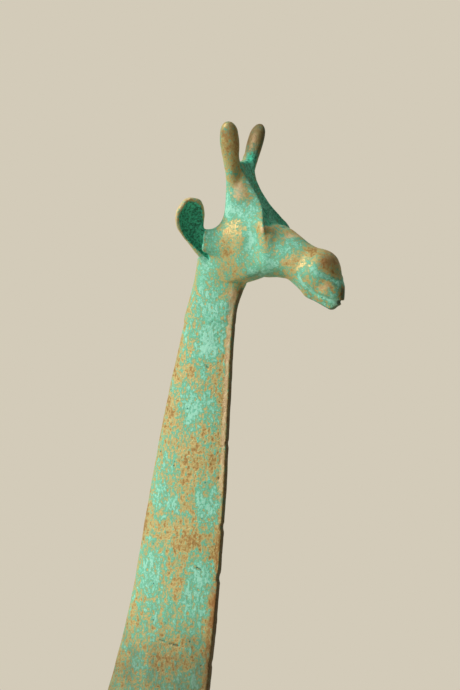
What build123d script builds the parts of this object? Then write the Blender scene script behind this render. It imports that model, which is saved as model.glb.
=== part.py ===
"""Giraffe statue, cast in bronze in sections that plug into each other.

Frame: +Z up, +X is the way the giraffe looks, origin on the ground in the middle of the footprint.
Every section ends in a spigot that sits in a socket of its neighbour, so that each joint closes
face to face and the sections stand as one rigid statue. All sizes are in millimetres.
"""

import os
from math import cos, radians, sin

from build123d import *

# Driving dimensions
TOTAL_HEIGHT = 555.0
HORN_JOINT = 546.5  # height of the face that the horns stand on
HEAD_JOINT = 499.0  # height of the face between neck and head
NECK_FOOT = 322.0  # height of the face between body and neck
LEG_JOINT = 200.0  # height of the faces between body and legs
MUZZLE_REACH = 82.0  # how far the lips and the tail stand out from the middle

# Horns: the foot of the right one, how it leans, and how its long axis turns towards the midline
HORN_FOOT_X = 42.6
HORN_FOOT_Y = 8.6
HORN_LEAN_FORWARD = 0.10
HORN_LEAN_OUT = 0.32
HORN_TURN = 28.0
HORN_SECTIONS = [  # height, long half-axis, short half-axis
    (HORN_JOINT, 3.1, 2.3),
    (549.0, 3.2, 2.4),
    (551.5, 2.9, 2.3),
    (553.6, 2.2, 1.8),
    (TOTAL_HEIGHT, 0.6, 0.5),
]
HORN_ROOT_SECTIONS = [(536.0, 1.6, 1.4), (541.5, 2.6, 2.0), (HORN_JOINT, 3.1, 2.3)]
HORN_SPIGOT_RADIUS = 1.2
HORN_SPIGOT_LENGTH = 5.0

# Ears: a leaf on a stalk, measured along its own axis from the root in the skull
EAR_ROOT = (31.1, -6.0, 509.6)
EAR_AXIS = Vector(-0.1, -12.0, 19.6).normalized()
EAR_OPENS = Vector(0.75, -0.66, 0.0)
EAR_JOINT = 6.0
EAR_SECTIONS = [  # distance, half-width, half-thickness
    (EAR_JOINT, 2.7, 2.1),
    (10.0, 4.0, 2.0),
    (15.0, 5.5, 2.0),
    (18.6, 5.3, 1.8),
    (21.0, 4.0, 1.4),
    (22.4, 1.4, 0.6),
]
EAR_HOLLOW_LIFT = 2.3  # the hollow's middle stands this far in front of the leaf's middle
EAR_HOLLOW = [  # distance, half-width, half-thickness
    (8.6, 1.2, 0.8),
    (12.0, 3.1, 2.0),
    (16.0, 4.2, 2.4),
    (19.0, 3.6, 2.0),
    (21.0, 1.2, 0.8),
]
LEFT_EAR_FORWARD = 2.4  # the left ear stands this far ahead of the right one
EAR_SPIGOT_RADIUS = 1.4

# Skull: level sections from the neck joint up to the face under the horns
SKULL_SECTIONS = [  # height, rear, front, half-width
    (HEAD_JOINT, 23.8, 42.0, 4.0),
    (506.0, 24.2, 52.0, 6.8),
    (513.0, 26.4, 57.0, 8.6),
    (520.0, 33.4, 57.4, 8.8),
    (528.0, 37.4, 52.2, 6.8),
    (536.0, 38.0, 47.6, 6.0),
    (541.0, 38.6, 45.6, 7.0),
    (544.4, 39.4, 44.6, 8.0),
]
# Muzzle: sections square to a spine that droops towards the lips
MUZZLE_SECTIONS = [  # x, z, droop in degrees, half-height, half-width
    (46.0, 511.0, 0.0, 8.4, 7.6),
    (57.0, 511.0, 12.0, 8.0, 7.2),
    (66.0, 507.6, 28.0, 7.8, 6.2),
    (73.2, 502.2, 40.0, 8.3, 6.3),
    (77.6, 497.4, 50.0, 5.8, 5.4),
    (79.4, 495.0, 52.0, 3.0, 3.4),
]
FOREHEAD_TROUGH_TOP = (47.2, 547.0)
FOREHEAD_TROUGH_END = (61.5, 520.0)
FOREHEAD_TROUGH_RADIUS = 2.6
MOUTH_CORNER = (72.5, 497.6)
MOUTH_FRONT = (82.5, 492.0)
MOUTH_GAP = 1.0

# Neck: a blade with a flat narrow front edge, bulged cheeks and a round rear edge
NECK_FRONT_EDGE = 2.4
NECK_SECTIONS = [  # height, rear, front, thickness
    (HEAD_JOINT, 23.8, 42.0, 7.6),
    (488.0, 20.7, 40.3, 7.2),
    (460.0, 13.6, 38.3, 7.6),
    (427.0, 6.4, 36.5, 8.2),
    (393.0, -0.8, 33.8, 9.0),
    (362.0, -9.4, 30.3, 10.0),
    (NECK_FOOT, -24.0, 25.5, 12.0),
]
NECK_HEAD_SPIGOT = (9.0, 3.2, 8.0)  # length along x, thickness, height
NECK_BODY_SPIGOT = (26.0, 6.0, 16.0)

# Body: upright sections across the trunk, and the stump that carries the neck
TRUNK_SECTIONS = [  # x, middle height, half-height, half-width
    (26.5, 262.0, 8.0, 5.0),
    (20.0, 262.0, 23.0, 11.0),
    (4.0, 263.0, 36.0, 15.0),
    (-16.0, 261.0, 38.0, 16.5),
    (-40.0, 251.0, 33.0, 16.5),
    (-60.0, 242.0, 27.0, 14.5),
    (-72.0, 238.0, 17.0, 10.0),
    (-75.6, 237.0, 6.0, 4.5),
]
STUMP_SECTIONS = [  # height, rear, front, thickness
    (NECK_FOOT, -24.0, 25.5, 12.0),
    (302.0, -31.5, 26.6, 17.0),
    (281.0, -40.0, 27.0, 24.0),
    (260.0, -41.0, 25.0, 26.0),
]

# Legs: level sections of the right-hand pair, from the body joint to the sole. They are lofted in
# runs of three that share their end sections: thigh, knee, cannon and hoof.
FRONT_HIP = [(242.0, 6.0, -8.5, 12.5, 7.5), (222.0, 8.0, -11.0, 10.0, 6.8)]
FRONT_LEG = [  # height, x, y, half-length, half-width
    (LEG_JOINT, 9.0, -13.0, 8.0, 6.0),
    (166.0, 9.6, -14.9, 5.9, 4.9),
    (132.0, 10.0, -16.8, 5.0, 4.4),
    (113.0, 10.5, -17.8, 5.8, 4.9),
    (94.0, 10.2, -18.8, 4.6, 4.2),
    (60.0, 10.0, -20.6, 4.1, 3.8),
    (26.0, 10.4, -22.4, 4.7, 4.4),
    (13.0, 12.2, -23.1, 5.2, 4.7),
    (0.0, 13.4, -23.6, 7.6, 6.4),
]
REAR_HIP = [(242.0, -56.0, -7.5, 13.5, 7.0), (222.0, -58.5, -10.5, 11.5, 6.8)]
REAR_LEG = [
    (LEG_JOINT, -61.0, -12.8, 9.0, 6.0),
    (166.0, -65.0, -14.8, 6.2, 4.9),
    (132.0, -69.0, -16.8, 5.1, 4.4),
    (113.0, -70.5, -17.9, 5.9, 4.8),
    (94.0, -69.3, -18.9, 4.7, 4.2),
    (60.0, -67.0, -20.7, 4.1, 3.8),
    (26.0, -64.8, -22.5, 4.7, 4.4),
    (13.0, -63.0, -23.1, 5.2, 4.7),
    (0.0, -61.2, -23.6, 7.6, 6.4),
]
LEG_RUN = 3  # sections in each lofted run
LEG_SPIGOT_RADIUS = 3.0
LEG_SPIGOT_LENGTH = 14.0
HOOF_CLEFT = (7.0, 1.2, 6.0)  # length along x, width, height

# Tail: a round cord of metal with a tuft, let into the rump
TAIL_RADIUS = 1.9
TAIL_DROP_X = 3.0 - MUZZLE_REACH
TAIL_ROOT = (-64.0, 251.0)
TAIL_BEND = 6.0
TAIL_TUFT_TOP = 172.0
TAIL_TUFT_END = 148.0
TAIL_TUFT_RADIUS = 2.9


def level_blade(height, rear, front, thickness):
    """Level section of a blade: flat front edge and two cheeks that meet in a round rear edge."""
    half_edge = NECK_FRONT_EDGE / 2
    belly = rear + 0.36 * (front - rear)
    with BuildSketch(Plane.XY.offset(height)) as section:
        with BuildLine():
            Line((front, -half_edge), (front, half_edge))
            Spline(
                (front, half_edge),
                (belly, thickness / 2),
                (rear, 0),
                tangents=[(-1.0, 0.22), (0.0, -1.0)],
            )
            Spline(
                (rear, 0),
                (belly, -thickness / 2),
                (front, -half_edge),
                tangents=[(0.0, -1.0), (1.0, 0.22)],
            )
        make_face()
    return section.sketch


def level_ellipse(height, x, y, half_length, half_width, turn=0.0):
    """Level elliptical section, with its long axis turned about the vertical."""
    with BuildSketch(Plane.XY.offset(height)) as section:
        with Locations((x, y)):
            Ellipse(half_length, half_width, rotation=turn)
    return section.sketch


def horn_section(height, long_half, short_half):
    """Section of the right horn, which leans forward and outward as it rises."""
    rise = height - HORN_JOINT
    x = HORN_FOOT_X + HORN_LEAN_FORWARD * rise
    y = -HORN_FOOT_Y - HORN_LEAN_OUT * rise
    return level_ellipse(height, x, y, long_half, short_half, HORN_TURN)


# Horns
with BuildPart() as horn_right:
    loft([horn_section(*section) for section in HORN_SECTIONS])
    spigot_ends = (HORN_JOINT, HORN_JOINT - HORN_SPIGOT_LENGTH)
    loft([horn_section(height, HORN_SPIGOT_RADIUS, HORN_SPIGOT_RADIUS) for height in spigot_ends])

with BuildPart() as horn_left:
    mirror(horn_right.part, about=Plane.XZ)

# Ears
ear_opening = (EAR_OPENS - EAR_AXIS * EAR_OPENS.dot(EAR_AXIS)).normalized()
ear_plane = Plane(origin=EAR_ROOT, x_dir=ear_opening.cross(EAR_AXIS), z_dir=EAR_AXIS)
ear_face_sign = 1 if ear_plane.y_dir.dot(ear_opening) > 0 else -1

with BuildPart() as ear_right:
    for distance, half_width, half_thickness in EAR_SECTIONS:
        with BuildSketch(ear_plane.offset(distance)):
            Ellipse(half_width, half_thickness)
    loft()
    for distance, half_width, half_thickness in EAR_HOLLOW:
        with BuildSketch(ear_plane.offset(distance)):
            with Locations((0, ear_face_sign * EAR_HOLLOW_LIFT)):
                Ellipse(half_width, half_thickness)
    loft(mode=Mode.SUBTRACT)
    with BuildSketch(ear_plane.offset(EAR_JOINT)):
        Circle(EAR_SPIGOT_RADIUS)
    extrude(amount=-EAR_JOINT)

with BuildPart() as ear_left:
    with Locations((LEFT_EAR_FORWARD, 0, 0)):
        add(mirror(ear_right.part, about=Plane.XZ, mode=Mode.PRIVATE))

# Stubs of the head that the ears sit on
stub_reach, stub_width, stub_thickness = EAR_SECTIONS[0]
with BuildPart() as ear_stubs:
    for distance in (0.0, stub_reach):
        with BuildSketch(ear_plane.offset(distance)):
            Ellipse(stub_width, stub_thickness)
    loft()
    with Locations((LEFT_EAR_FORWARD, 0, 0)):
        add(mirror(ear_stubs.part, about=Plane.XZ, mode=Mode.PRIVATE))

# Neck
with BuildPart() as neck:
    loft([level_blade(*section) for section in NECK_SECTIONS])
    spigot_length, spigot_thickness, spigot_height = NECK_HEAD_SPIGOT
    with BuildSketch(Plane.XY.offset(HEAD_JOINT)):
        with Locations((33.0, 0)):
            Rectangle(spigot_length, spigot_thickness)
    extrude(amount=spigot_height)
    spigot_length, spigot_thickness, spigot_height = NECK_BODY_SPIGOT
    with BuildSketch(Plane.XY.offset(NECK_FOOT)):
        Rectangle(spigot_length, spigot_thickness)
    extrude(amount=-spigot_height)

# Head: skull, muzzle and the stubs that the horns and ears sit on, with the face cut into them
with BuildPart() as head:
    for height, rear, front, half_width in SKULL_SECTIONS:
        with BuildSketch(Plane.XY.offset(height)):
            with Locations(((rear + front) / 2, 0)):
                Ellipse((front - rear) / 2, half_width)
    loft()
    for x, z, droop, half_height, half_width in MUZZLE_SECTIONS:
        along = (cos(radians(droop)), 0, -sin(radians(droop)))
        with BuildSketch(Plane(origin=(x, 0, z), x_dir=(0, 1, 0), z_dir=along)):
            Ellipse(half_width, half_height)
    loft()
    loft([horn_section(*section) for section in HORN_ROOT_SECTIONS])
    mirror(about=Plane.XZ)
    add(ear_stubs.part)
    trough_run = Vector(
        FOREHEAD_TROUGH_END[0] - FOREHEAD_TROUGH_TOP[0],
        0,
        FOREHEAD_TROUGH_END[1] - FOREHEAD_TROUGH_TOP[1],
    )
    trough_start = (FOREHEAD_TROUGH_TOP[0], 0, FOREHEAD_TROUGH_TOP[1])
    with BuildSketch(Plane(origin=trough_start, z_dir=trough_run)):
        Circle(FOREHEAD_TROUGH_RADIUS)
    extrude(amount=trough_run.length, mode=Mode.SUBTRACT)
    with BuildSketch(Plane.XZ):
        with BuildLine():
            Polyline(
                MOUTH_CORNER,
                (MOUTH_FRONT[0], MOUTH_FRONT[1] + MOUTH_GAP),
                (MOUTH_FRONT[0], MOUTH_FRONT[1] - MOUTH_GAP),
                close=True,
            )
        make_face()
    extrude(amount=MUZZLE_REACH / 4, both=True, mode=Mode.SUBTRACT)
    for plugged in (horn_right, horn_left, ear_right, ear_left, neck):
        add(plugged.part, mode=Mode.SUBTRACT)


# Legs
def cast_leg(sections):
    """One leg: level sections lofted down to a flat sole, a spigot on top and a cloven hoof."""
    with BuildPart() as leg:
        for first in range(0, len(sections) - 1, LEG_RUN - 1):
            loft([level_ellipse(*section) for section in sections[first : first + LEG_RUN]])
        height, x, y = sections[0][:3]
        with BuildSketch(Plane.XY.offset(height)):
            with Locations((x, y)):
                Circle(LEG_SPIGOT_RADIUS)
        extrude(amount=LEG_SPIGOT_LENGTH)
        x, y, half_length = sections[-1][1:4]
        cleft_length, cleft_width, cleft_height = HOOF_CLEFT
        with BuildSketch(Plane.XY):
            with Locations((x + half_length, y)):
                Rectangle(cleft_length, cleft_width)
        extrude(amount=cleft_height, mode=Mode.SUBTRACT)
    return leg


leg_front_right = cast_leg(FRONT_LEG)
leg_rear_right = cast_leg(REAR_LEG)

with BuildPart() as leg_front_left:
    mirror(leg_front_right.part, about=Plane.XZ)

with BuildPart() as leg_rear_left:
    mirror(leg_rear_right.part, about=Plane.XZ)

# Tail
with BuildPart() as tail:
    with BuildLine() as tail_line:
        FilletPolyline(
            (TAIL_ROOT[0], 0, TAIL_ROOT[1]),
            (TAIL_DROP_X, 0, TAIL_ROOT[1] - 5.0),
            (TAIL_DROP_X, 0, TAIL_TUFT_TOP - 2.0),
            radius=TAIL_BEND,
        )
    with BuildSketch(Plane(origin=tail_line.line @ 0, z_dir=tail_line.line % 0)):
        Circle(TAIL_RADIUS)
    sweep()
    with BuildSketch(Plane.XZ):
        with BuildLine():
            Line((TAIL_DROP_X, TAIL_TUFT_TOP), (TAIL_DROP_X, TAIL_TUFT_END))
            Spline(
                (TAIL_DROP_X, TAIL_TUFT_END),
                (TAIL_DROP_X + TAIL_TUFT_RADIUS, TAIL_TUFT_END + 9.0),
                (TAIL_DROP_X + TAIL_RADIUS - 0.2, TAIL_TUFT_TOP),
                tangents=[(1.0, 0.6), (-0.1, 1.0)],
            )
            Line((TAIL_DROP_X + TAIL_RADIUS - 0.2, TAIL_TUFT_TOP), (TAIL_DROP_X, TAIL_TUFT_TOP))
        make_face()
    revolve(axis=Axis((TAIL_DROP_X, 0, 0), (0, 0, 1)))

# Body
with BuildPart() as body:
    for x, middle, half_height, half_width in TRUNK_SECTIONS:
        with BuildSketch(Plane.YZ.offset(x)):
            with Locations((0, middle)):
                Ellipse(half_width, half_height)
    loft()
    loft([level_blade(*section) for section in STUMP_SECTIONS])
    for hip, leg_sections in ((FRONT_HIP, FRONT_LEG), (REAR_HIP, REAR_LEG)):
        loft([level_ellipse(*section) for section in hip + leg_sections[:1]])
    mirror(about=Plane.XZ)
    legs = (leg_front_right, leg_front_left, leg_rear_right, leg_rear_left)
    for plugged in legs + (neck, tail):
        add(plugged.part, mode=Mode.SUBTRACT)

pieces = {
    "head": head,
    "horn_right": horn_right,
    "horn_left": horn_left,
    "ear_right": ear_right,
    "ear_left": ear_left,
    "neck": neck,
    "body": body,
    "leg_front_right": leg_front_right,
    "leg_front_left": leg_front_left,
    "leg_rear_right": leg_rear_right,
    "leg_rear_left": leg_rear_left,
    "tail": tail,
}

os.makedirs("parts", exist_ok=True)
for name, piece in pieces.items():
    piece.part.label = name
    export_step(piece.part, f"parts/{name}.step")
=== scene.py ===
"""Looks of the cast bronze giraffe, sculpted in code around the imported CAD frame.

The metal skin is described by distance fields in millimetres in the row frame: one for the head,
horns, ears and neck, one for the body and tail, and one for each leg. Each section of the casting
is meshed on its own and cut at the joint planes of the CAD, so that it stays a closed piece.
"""
from math import cos, radians, sin

import bpy
import numpy as np
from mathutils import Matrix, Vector, geometry, noise


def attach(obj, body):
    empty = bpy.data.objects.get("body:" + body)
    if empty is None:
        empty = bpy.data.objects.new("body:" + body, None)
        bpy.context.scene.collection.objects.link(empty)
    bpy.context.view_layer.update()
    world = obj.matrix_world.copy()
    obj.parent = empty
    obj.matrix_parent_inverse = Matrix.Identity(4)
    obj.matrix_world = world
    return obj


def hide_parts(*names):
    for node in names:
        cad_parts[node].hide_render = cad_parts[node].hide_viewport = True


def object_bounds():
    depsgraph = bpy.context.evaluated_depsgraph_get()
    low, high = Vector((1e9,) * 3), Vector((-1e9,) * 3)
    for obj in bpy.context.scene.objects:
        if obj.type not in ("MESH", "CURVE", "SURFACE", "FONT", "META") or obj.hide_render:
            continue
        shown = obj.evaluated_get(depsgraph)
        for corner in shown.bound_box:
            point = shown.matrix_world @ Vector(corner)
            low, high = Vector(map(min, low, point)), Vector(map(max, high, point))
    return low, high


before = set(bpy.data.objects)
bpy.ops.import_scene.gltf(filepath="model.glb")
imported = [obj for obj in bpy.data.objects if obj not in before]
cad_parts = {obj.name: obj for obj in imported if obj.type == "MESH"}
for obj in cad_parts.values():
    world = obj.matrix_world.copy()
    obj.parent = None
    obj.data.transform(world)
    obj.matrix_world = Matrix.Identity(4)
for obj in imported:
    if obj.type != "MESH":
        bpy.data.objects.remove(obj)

MM = 0.001  # metres in a millimetre
cad_low, cad_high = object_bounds()
TOTAL_HEIGHT = cad_high.z / MM

# ---------------------------------------------------------------- joints of the casting, in mm
HORN_JOINT = 546.5
HEAD_JOINT = 499.0
NECK_FOOT = 322.0
LEG_JOINT = 200.0
EAR_ROOT = np.array((31.1, -6.0, 509.6))
EAR_AXIS = np.array((-0.1, -12.0, 19.6))
EAR_AXIS /= np.linalg.norm(EAR_AXIS)
EAR_OPENS = np.array((0.75, -0.66, 0.0))
EAR_OPENS -= EAR_AXIS * EAR_OPENS.dot(EAR_AXIS)
EAR_OPENS /= np.linalg.norm(EAR_OPENS)
EAR_BREADTH = np.cross(EAR_OPENS, EAR_AXIS)
EAR_JOINT = 6.0
LEFT_EAR_FORWARD = 2.4  # the left ear stands this far ahead of the right one
TAIL_JOINT_X = -72.5

# ------------------------------------------------------------------ stations of the body's parts
# Blade of the neck and its stump on the body: height, rear, front, thickness, front edge
NECK = [
    (252.0, -40.0, 23.0, 27.0, 18.0),
    (281.0, -38.5, 26.6, 23.0, 12.0),
    (302.0, -31.5, 26.4, 17.0, 6.5),
    (NECK_FOOT, -23.6, 25.2, 12.0, 3.4),
    (362.0, -8.7, 29.7, 10.0, 2.6),
    (393.0, 0.1, 33.2, 9.0, 2.4),
    (427.0, 6.9, 35.9, 8.2, 2.4),
    (460.8, 14.1, 37.8, 7.7, 2.4),
    (474.4, 17.6, 38.6, 7.5, 2.4),
    (488.0, 21.1, 39.7, 7.6, 2.5),
    (HEAD_JOINT, 24.2, 41.6, 8.4, 3.2),
    (508.0, 27.6, 43.0, 11.0, 6.0),
]
NECK_BELLY = 0.36  # share of the blade's depth that lies behind its thickest place
NECK_NICKS = [(371.0, 0.3), (400.4, 0.55), (417.6, 0.45), (446.0, 0.25)]  # height, depth
# Skull: height, back, half-width at its middle, place and half-width of the ridges that frame the
# forehead and run down the cheeks' front edge, depth of the hollow between the ridges
SKULL = [
    (490.0, 30.0, 1.0, 36.0, 1.0, -0.3),
    (496.0, 28.8, 2.6, 39.5, 2.0, -0.6),
    (500.4, 27.8, 4.6, 43.0, 3.4, -0.8),
    (503.6, 27.5, 6.0, 51.0, 5.4, -1.0),
    (507.0, 27.4, 7.2, 54.6, 6.8, -1.0),
    (512.0, 28.4, 8.2, 55.4, 8.0, -0.8),
    (516.0, 31.4, 8.5, 55.8, 8.9, -0.3),
    (519.0, 34.4, 8.2, 55.8, 9.4, 0.2),
    (520.8, 35.9, 7.9, 55.4, 9.2, 1.1),
    (522.6, 37.0, 7.6, 54.6, 7.4, 1.9),
    (525.0, 37.8, 7.1, 53.4, 5.2, 1.9),
    (527.6, 38.2, 6.7, 51.8, 3.4, 1.6),
    (530.2, 38.3, 6.4, 50.2, 2.8, 1.4),
    (533.0, 38.3, 6.0, 48.4, 2.9, 1.3),
    (535.6, 38.3, 5.9, 46.9, 3.4, 1.2),
    (538.4, 38.4, 6.2, 45.6, 4.7, 1.2),
    (541.2, 38.8, 7.2, 44.8, 5.9, 1.6),
    (544.4, 39.6, 8.0, 44.0, 6.8, 1.8),
]
SKULL_MIDDLE = 42.5
FORK_HEIGHT = 541.6  # top of the web between the horns
FORK_HALF = 5.4
# Root of the muzzle, an upright column along x: x, height of its widest place, reach above and below
# it, half-width, and a power that is high where the section is square and low where it is a roof
BRIDGE = [
    (49.0, 510.0, 9.4, 7.0, 7.4, 3.0),
    (53.0, 510.0, 9.9, 7.6, 8.4, 3.8),
    (55.8, 509.6, 10.6, 7.2, 8.9, 4.6),
    (58.5, 509.0, 10.5, 6.6, 8.2, 2.5),
    (61.5, 508.0, 10.5, 5.4, 7.4, 1.7),
    (66.0, 505.4, 9.6, 4.6, 6.3, 1.7),
    (70.0, 502.6, 7.6, 3.6, 4.6, 1.8),
    (73.0, 501.0, 3.0, 1.8, 1.8, 2.0),
]
# Muzzle, a drooping round rod pressed in from the sides: x, height, radius
MUZZLE = [
    (60.0, 509.6, 6.6),
    (66.0, 507.0, 6.7),
    (71.8, 503.9, 7.9),
    (75.9, 498.6, 5.4),
    (77.8, 496.0, 3.5),
]
MUZZLE_PRESS = 1.14  # how much narrower the muzzle is than it is high
JAW = [(64.0, 504.8, 4.3), (70.0, 499.3, 4.3), (76.8, 493.6, 2.3)]
MOUTH_NOTCH = [(80.3, -5.0, 494.0, 0.7), (80.3, 5.0, 494.0, 0.7)]
HORN_FOOT = (42.6, 8.6)  # x and distance from the middle plane, at the horn joint
HORN_LEAN = (0.10, 0.32)  # forward and outward for each mm of height
HORN_TURN = radians(28.0)
# Horns: height, long half-axis, short half-axis
HORN = [
    (530.0, 0.5, 0.5),
    (537.0, 1.8, 1.6),
    (541.0, 2.5, 2.0),
    (544.0, 2.9, 2.3),
    (547.5, 3.25, 2.45),
    (550.8, 3.1, 2.4),
    (552.6, 2.75, 2.2),
    (553.7, 2.2, 1.8),
    (554.4, 1.55, 1.3),
    (554.85, 0.85, 0.7),
    (TOTAL_HEIGHT, 0.2, 0.2),
]
EAR_BOW = 1.8  # how far the leaf bows backward at its middle
# Ear leaf and its hollow: distance along its axis, half-width, half-thickness
EAR = [
    (-3.0, 0.8, 0.8),
    (2.0, 1.9, 1.8),
    (EAR_JOINT, 2.7, 2.0),
    (10.0, 4.0, 2.0),
    (15.0, 5.5, 2.0),
    (18.6, 5.3, 1.9),
    (21.0, 4.0, 1.5),
    (22.5, 1.4, 0.8),
]
EAR_HOLLOW = [
    (0.0, 0.2, 0.3),
    (2.5, 0.9, 0.9),
    (5.5, 1.9, 1.5),
    (9.0, 3.0, 2.1),
    (14.5, 4.0, 2.6),
    (18.6, 3.8, 2.3),
    (21.6, 1.4, 1.0),
]
EAR_HOLLOW_LIFT = 2.3  # how far the hollow's middle stands out of the leaf's
EAR_HOLLOW_SHIFT = 0.7  # how far the hollow's lower end lies toward the face
# Web between ear and skull, two rods from end to end: x, y, height, radius
EAR_SADDLE = [
    [(33.4, -9.6, 516.6, 1.9), (38.8, -5.5, 516.4, 3.2)],
    [(33.2, -8.8, 512.8, 1.9), (38.5, -6.0, 512.8, 2.8)],
]
# Trunk, an upright column along x: x, middle height, half-height, half-width
TRUNK = [
    (-75.6, 237.0, 6.0, 4.5),
    (-71.5, 238.0, 16.0, 10.0),
    (-60.0, 242.0, 26.5, 14.0),
    (-40.0, 251.0, 32.0, 15.8),
    (-16.0, 260.5, 36.5, 16.2),
    (4.0, 262.0, 35.0, 15.0),
    (20.0, 261.0, 23.5, 11.5),
    (26.3, 261.0, 8.0, 5.0),
]
# Right legs, level columns: height, x, y, half-length, half-width
FRONT_LEG = [
    (0.0, 13.4, -23.6, 7.5, 6.3),
    (10.0, 12.9, -23.2, 6.0, 5.3),
    (17.0, 11.6, -22.9, 4.6, 4.3),
    (26.0, 10.4, -22.4, 4.8, 4.5),
    (38.0, 10.0, -21.8, 4.1, 3.8),
    (60.0, 10.0, -20.6, 3.9, 3.7),
    (94.0, 10.2, -18.8, 4.4, 4.1),
    (113.0, 10.5, -17.8, 5.8, 4.9),
    (132.0, 10.0, -16.8, 4.9, 4.3),
    (166.0, 9.6, -14.9, 5.8, 4.8),
    (LEG_JOINT, 9.0, -13.0, 8.0, 6.0),
    (222.0, 8.0, -11.0, 10.0, 6.8),
    (246.0, 6.0, -8.5, 12.0, 7.0),
]
REAR_LEG = [
    (0.0, -61.2, -23.6, 7.5, 6.3),
    (10.0, -61.8, -23.3, 6.0, 5.3),
    (17.0, -63.2, -23.0, 4.6, 4.3),
    (26.0, -64.8, -22.5, 4.8, 4.5),
    (38.0, -65.7, -21.8, 4.1, 3.8),
    (60.0, -67.0, -20.7, 3.9, 3.7),
    (94.0, -69.3, -18.9, 4.5, 4.1),
    (113.0, -70.5, -17.9, 5.9, 4.8),
    (132.0, -69.0, -16.8, 5.0, 4.3),
    (166.0, -65.0, -14.8, 6.1, 4.8),
    (LEG_JOINT, -61.0, -12.8, 9.0, 6.0),
    (222.0, -58.5, -10.5, 11.5, 6.6),
    (244.0, -56.0, -7.5, 13.0, 6.5),
]
# Tail, a cord that hangs free of the rump and ends in a tuft: x, height, radius
TAIL = [
    (-62.0, 251.5, 2.6),
    (-70.0, 249.5, 2.4),
    (-76.5, 245.5, 2.1),
    (-79.0, 238.0, 1.9),
    (-79.0, 205.0, 1.8),
    (-79.0, 176.0, 1.6),
    (-79.0, 163.0, 2.7),
    (-79.0, 155.0, 2.5),
    (-79.0, 149.5, 1.3),
]


# -------------------------------------------------------------------------- distance field tools
def smooth_union(a, b, blend):
    share = np.clip(0.5 + 0.5 * (b - a) / blend, 0.0, 1.0)
    return b + (a - b) * share - blend * share * (1.0 - share)


def smooth_carve(solid, tool, blend):
    return -smooth_union(-solid, tool, blend)


def through(stations, places):
    """Smooth curve through (place, value, ...) stations, sampled at each of the places."""
    table = np.array(stations)
    knots, values = table[:, 0], table[:, 1:]
    slopes = np.gradient(values, knots, axis=0)
    places = np.clip(places, knots[0], knots[-1])
    left = np.clip(np.searchsorted(knots, places) - 1, 0, len(knots) - 2)
    gap = (knots[left + 1] - knots[left])[:, None]
    t = (places[:, None] - knots[left][:, None]) / gap
    curve = (
        (2 * t**3 - 3 * t**2 + 1) * values[left]
        + (t**3 - 2 * t**2 + t) * gap * slopes[left]
        + (3 * t**2 - 2 * t**3) * values[left + 1]
        + (t**3 - t**2) * gap * slopes[left + 1]
    )
    return curve.T


def oval(u, v, half_u, half_v, power=2.0):
    """Distance in a plane to an oval; a power above 2 makes its sides flatter."""
    size = (np.abs(u / half_u) ** power + np.abs(v / half_v) ** power) ** (1.0 / power)
    pull = np.hypot(u / half_u**2, v / half_v**2) / np.maximum(np.hypot(u / half_u, v / half_v), 1e-6)
    return (size - 1.0) / np.maximum(pull, 1.0 / np.maximum(half_u, half_v))


def rod(points, start, end, start_radius, end_radius):
    """Round rod that tapers from one ball to another, in two or three dimensions."""
    axis = np.subtract(end, start)
    offset = points - np.asarray(start, float)
    t = np.clip(offset @ axis / max(axis @ axis, 1e-9), 0.0, 1.0)
    radius = start_radius + (end_radius - start_radius) * t
    return np.linalg.norm(offset - t[:, None] * axis, axis=1) - radius


def chain(points, stations, blend):
    """Rods through stations whose last value is the radius, run together smoothly."""
    total = None
    for near, far in zip(stations[:-1], stations[1:]):
        link = rod(points, near[:-1], far[:-1], near[-1], far[-1])
        total = link if total is None else smooth_union(total, link, blend)
    return total


def mound(points, centre, spread):
    """Soft bump of height 1 round a centre, with its own spread along each axis."""
    return np.exp(-0.5 * np.sum(((points - centre) / spread) ** 2, axis=1))


def mirrored(points):
    """The points folded over to the giraffe's right-hand side."""
    return points * (1.0, -1.0, 1.0) * np.where(points[:, 1:2] > 0, (1.0, 1.0, 1.0), (1.0, -1.0, 1.0))


# ---------------------------------------------------------------------------- parts of the animal
def neck_field(points):
    """Blade with a round nape, its thickest place a third of the way forward, and a flat front."""
    rear, front, thickness, edge = through(NECK, points[:, 2])
    belly = rear + NECK_BELLY * (front - rear)
    u = points[:, 0] - belly
    half = thickness / 2
    nape = oval(u, points[:, 1], belly - rear, half, 2.4)
    share = np.clip(u / (front - belly), 0.0, 1.2)
    cheek = edge / 2 + (half - edge / 2) * (1.0 - share**2)
    lean = 2.0 * (half - edge / 2) * share / (front - belly)
    side = (np.abs(points[:, 1]) - cheek) / np.sqrt(1.0 + lean**2)
    blade = smooth_carve(np.where(u < 0, nape, side), front - points[:, 0], 0.25)
    for height, depth in NECK_NICKS:
        bite = np.hypot(points[:, 0] - front - 0.6, (points[:, 2] - height) * 0.6)
        blade = smooth_carve(blade, bite - 0.6 - depth, 0.3)
    blade = smooth_carve(blade, points[:, 2] - NECK[0][0], 14.0)
    return np.maximum(blade, points[:, 2] - NECK[-1][0])


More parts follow.
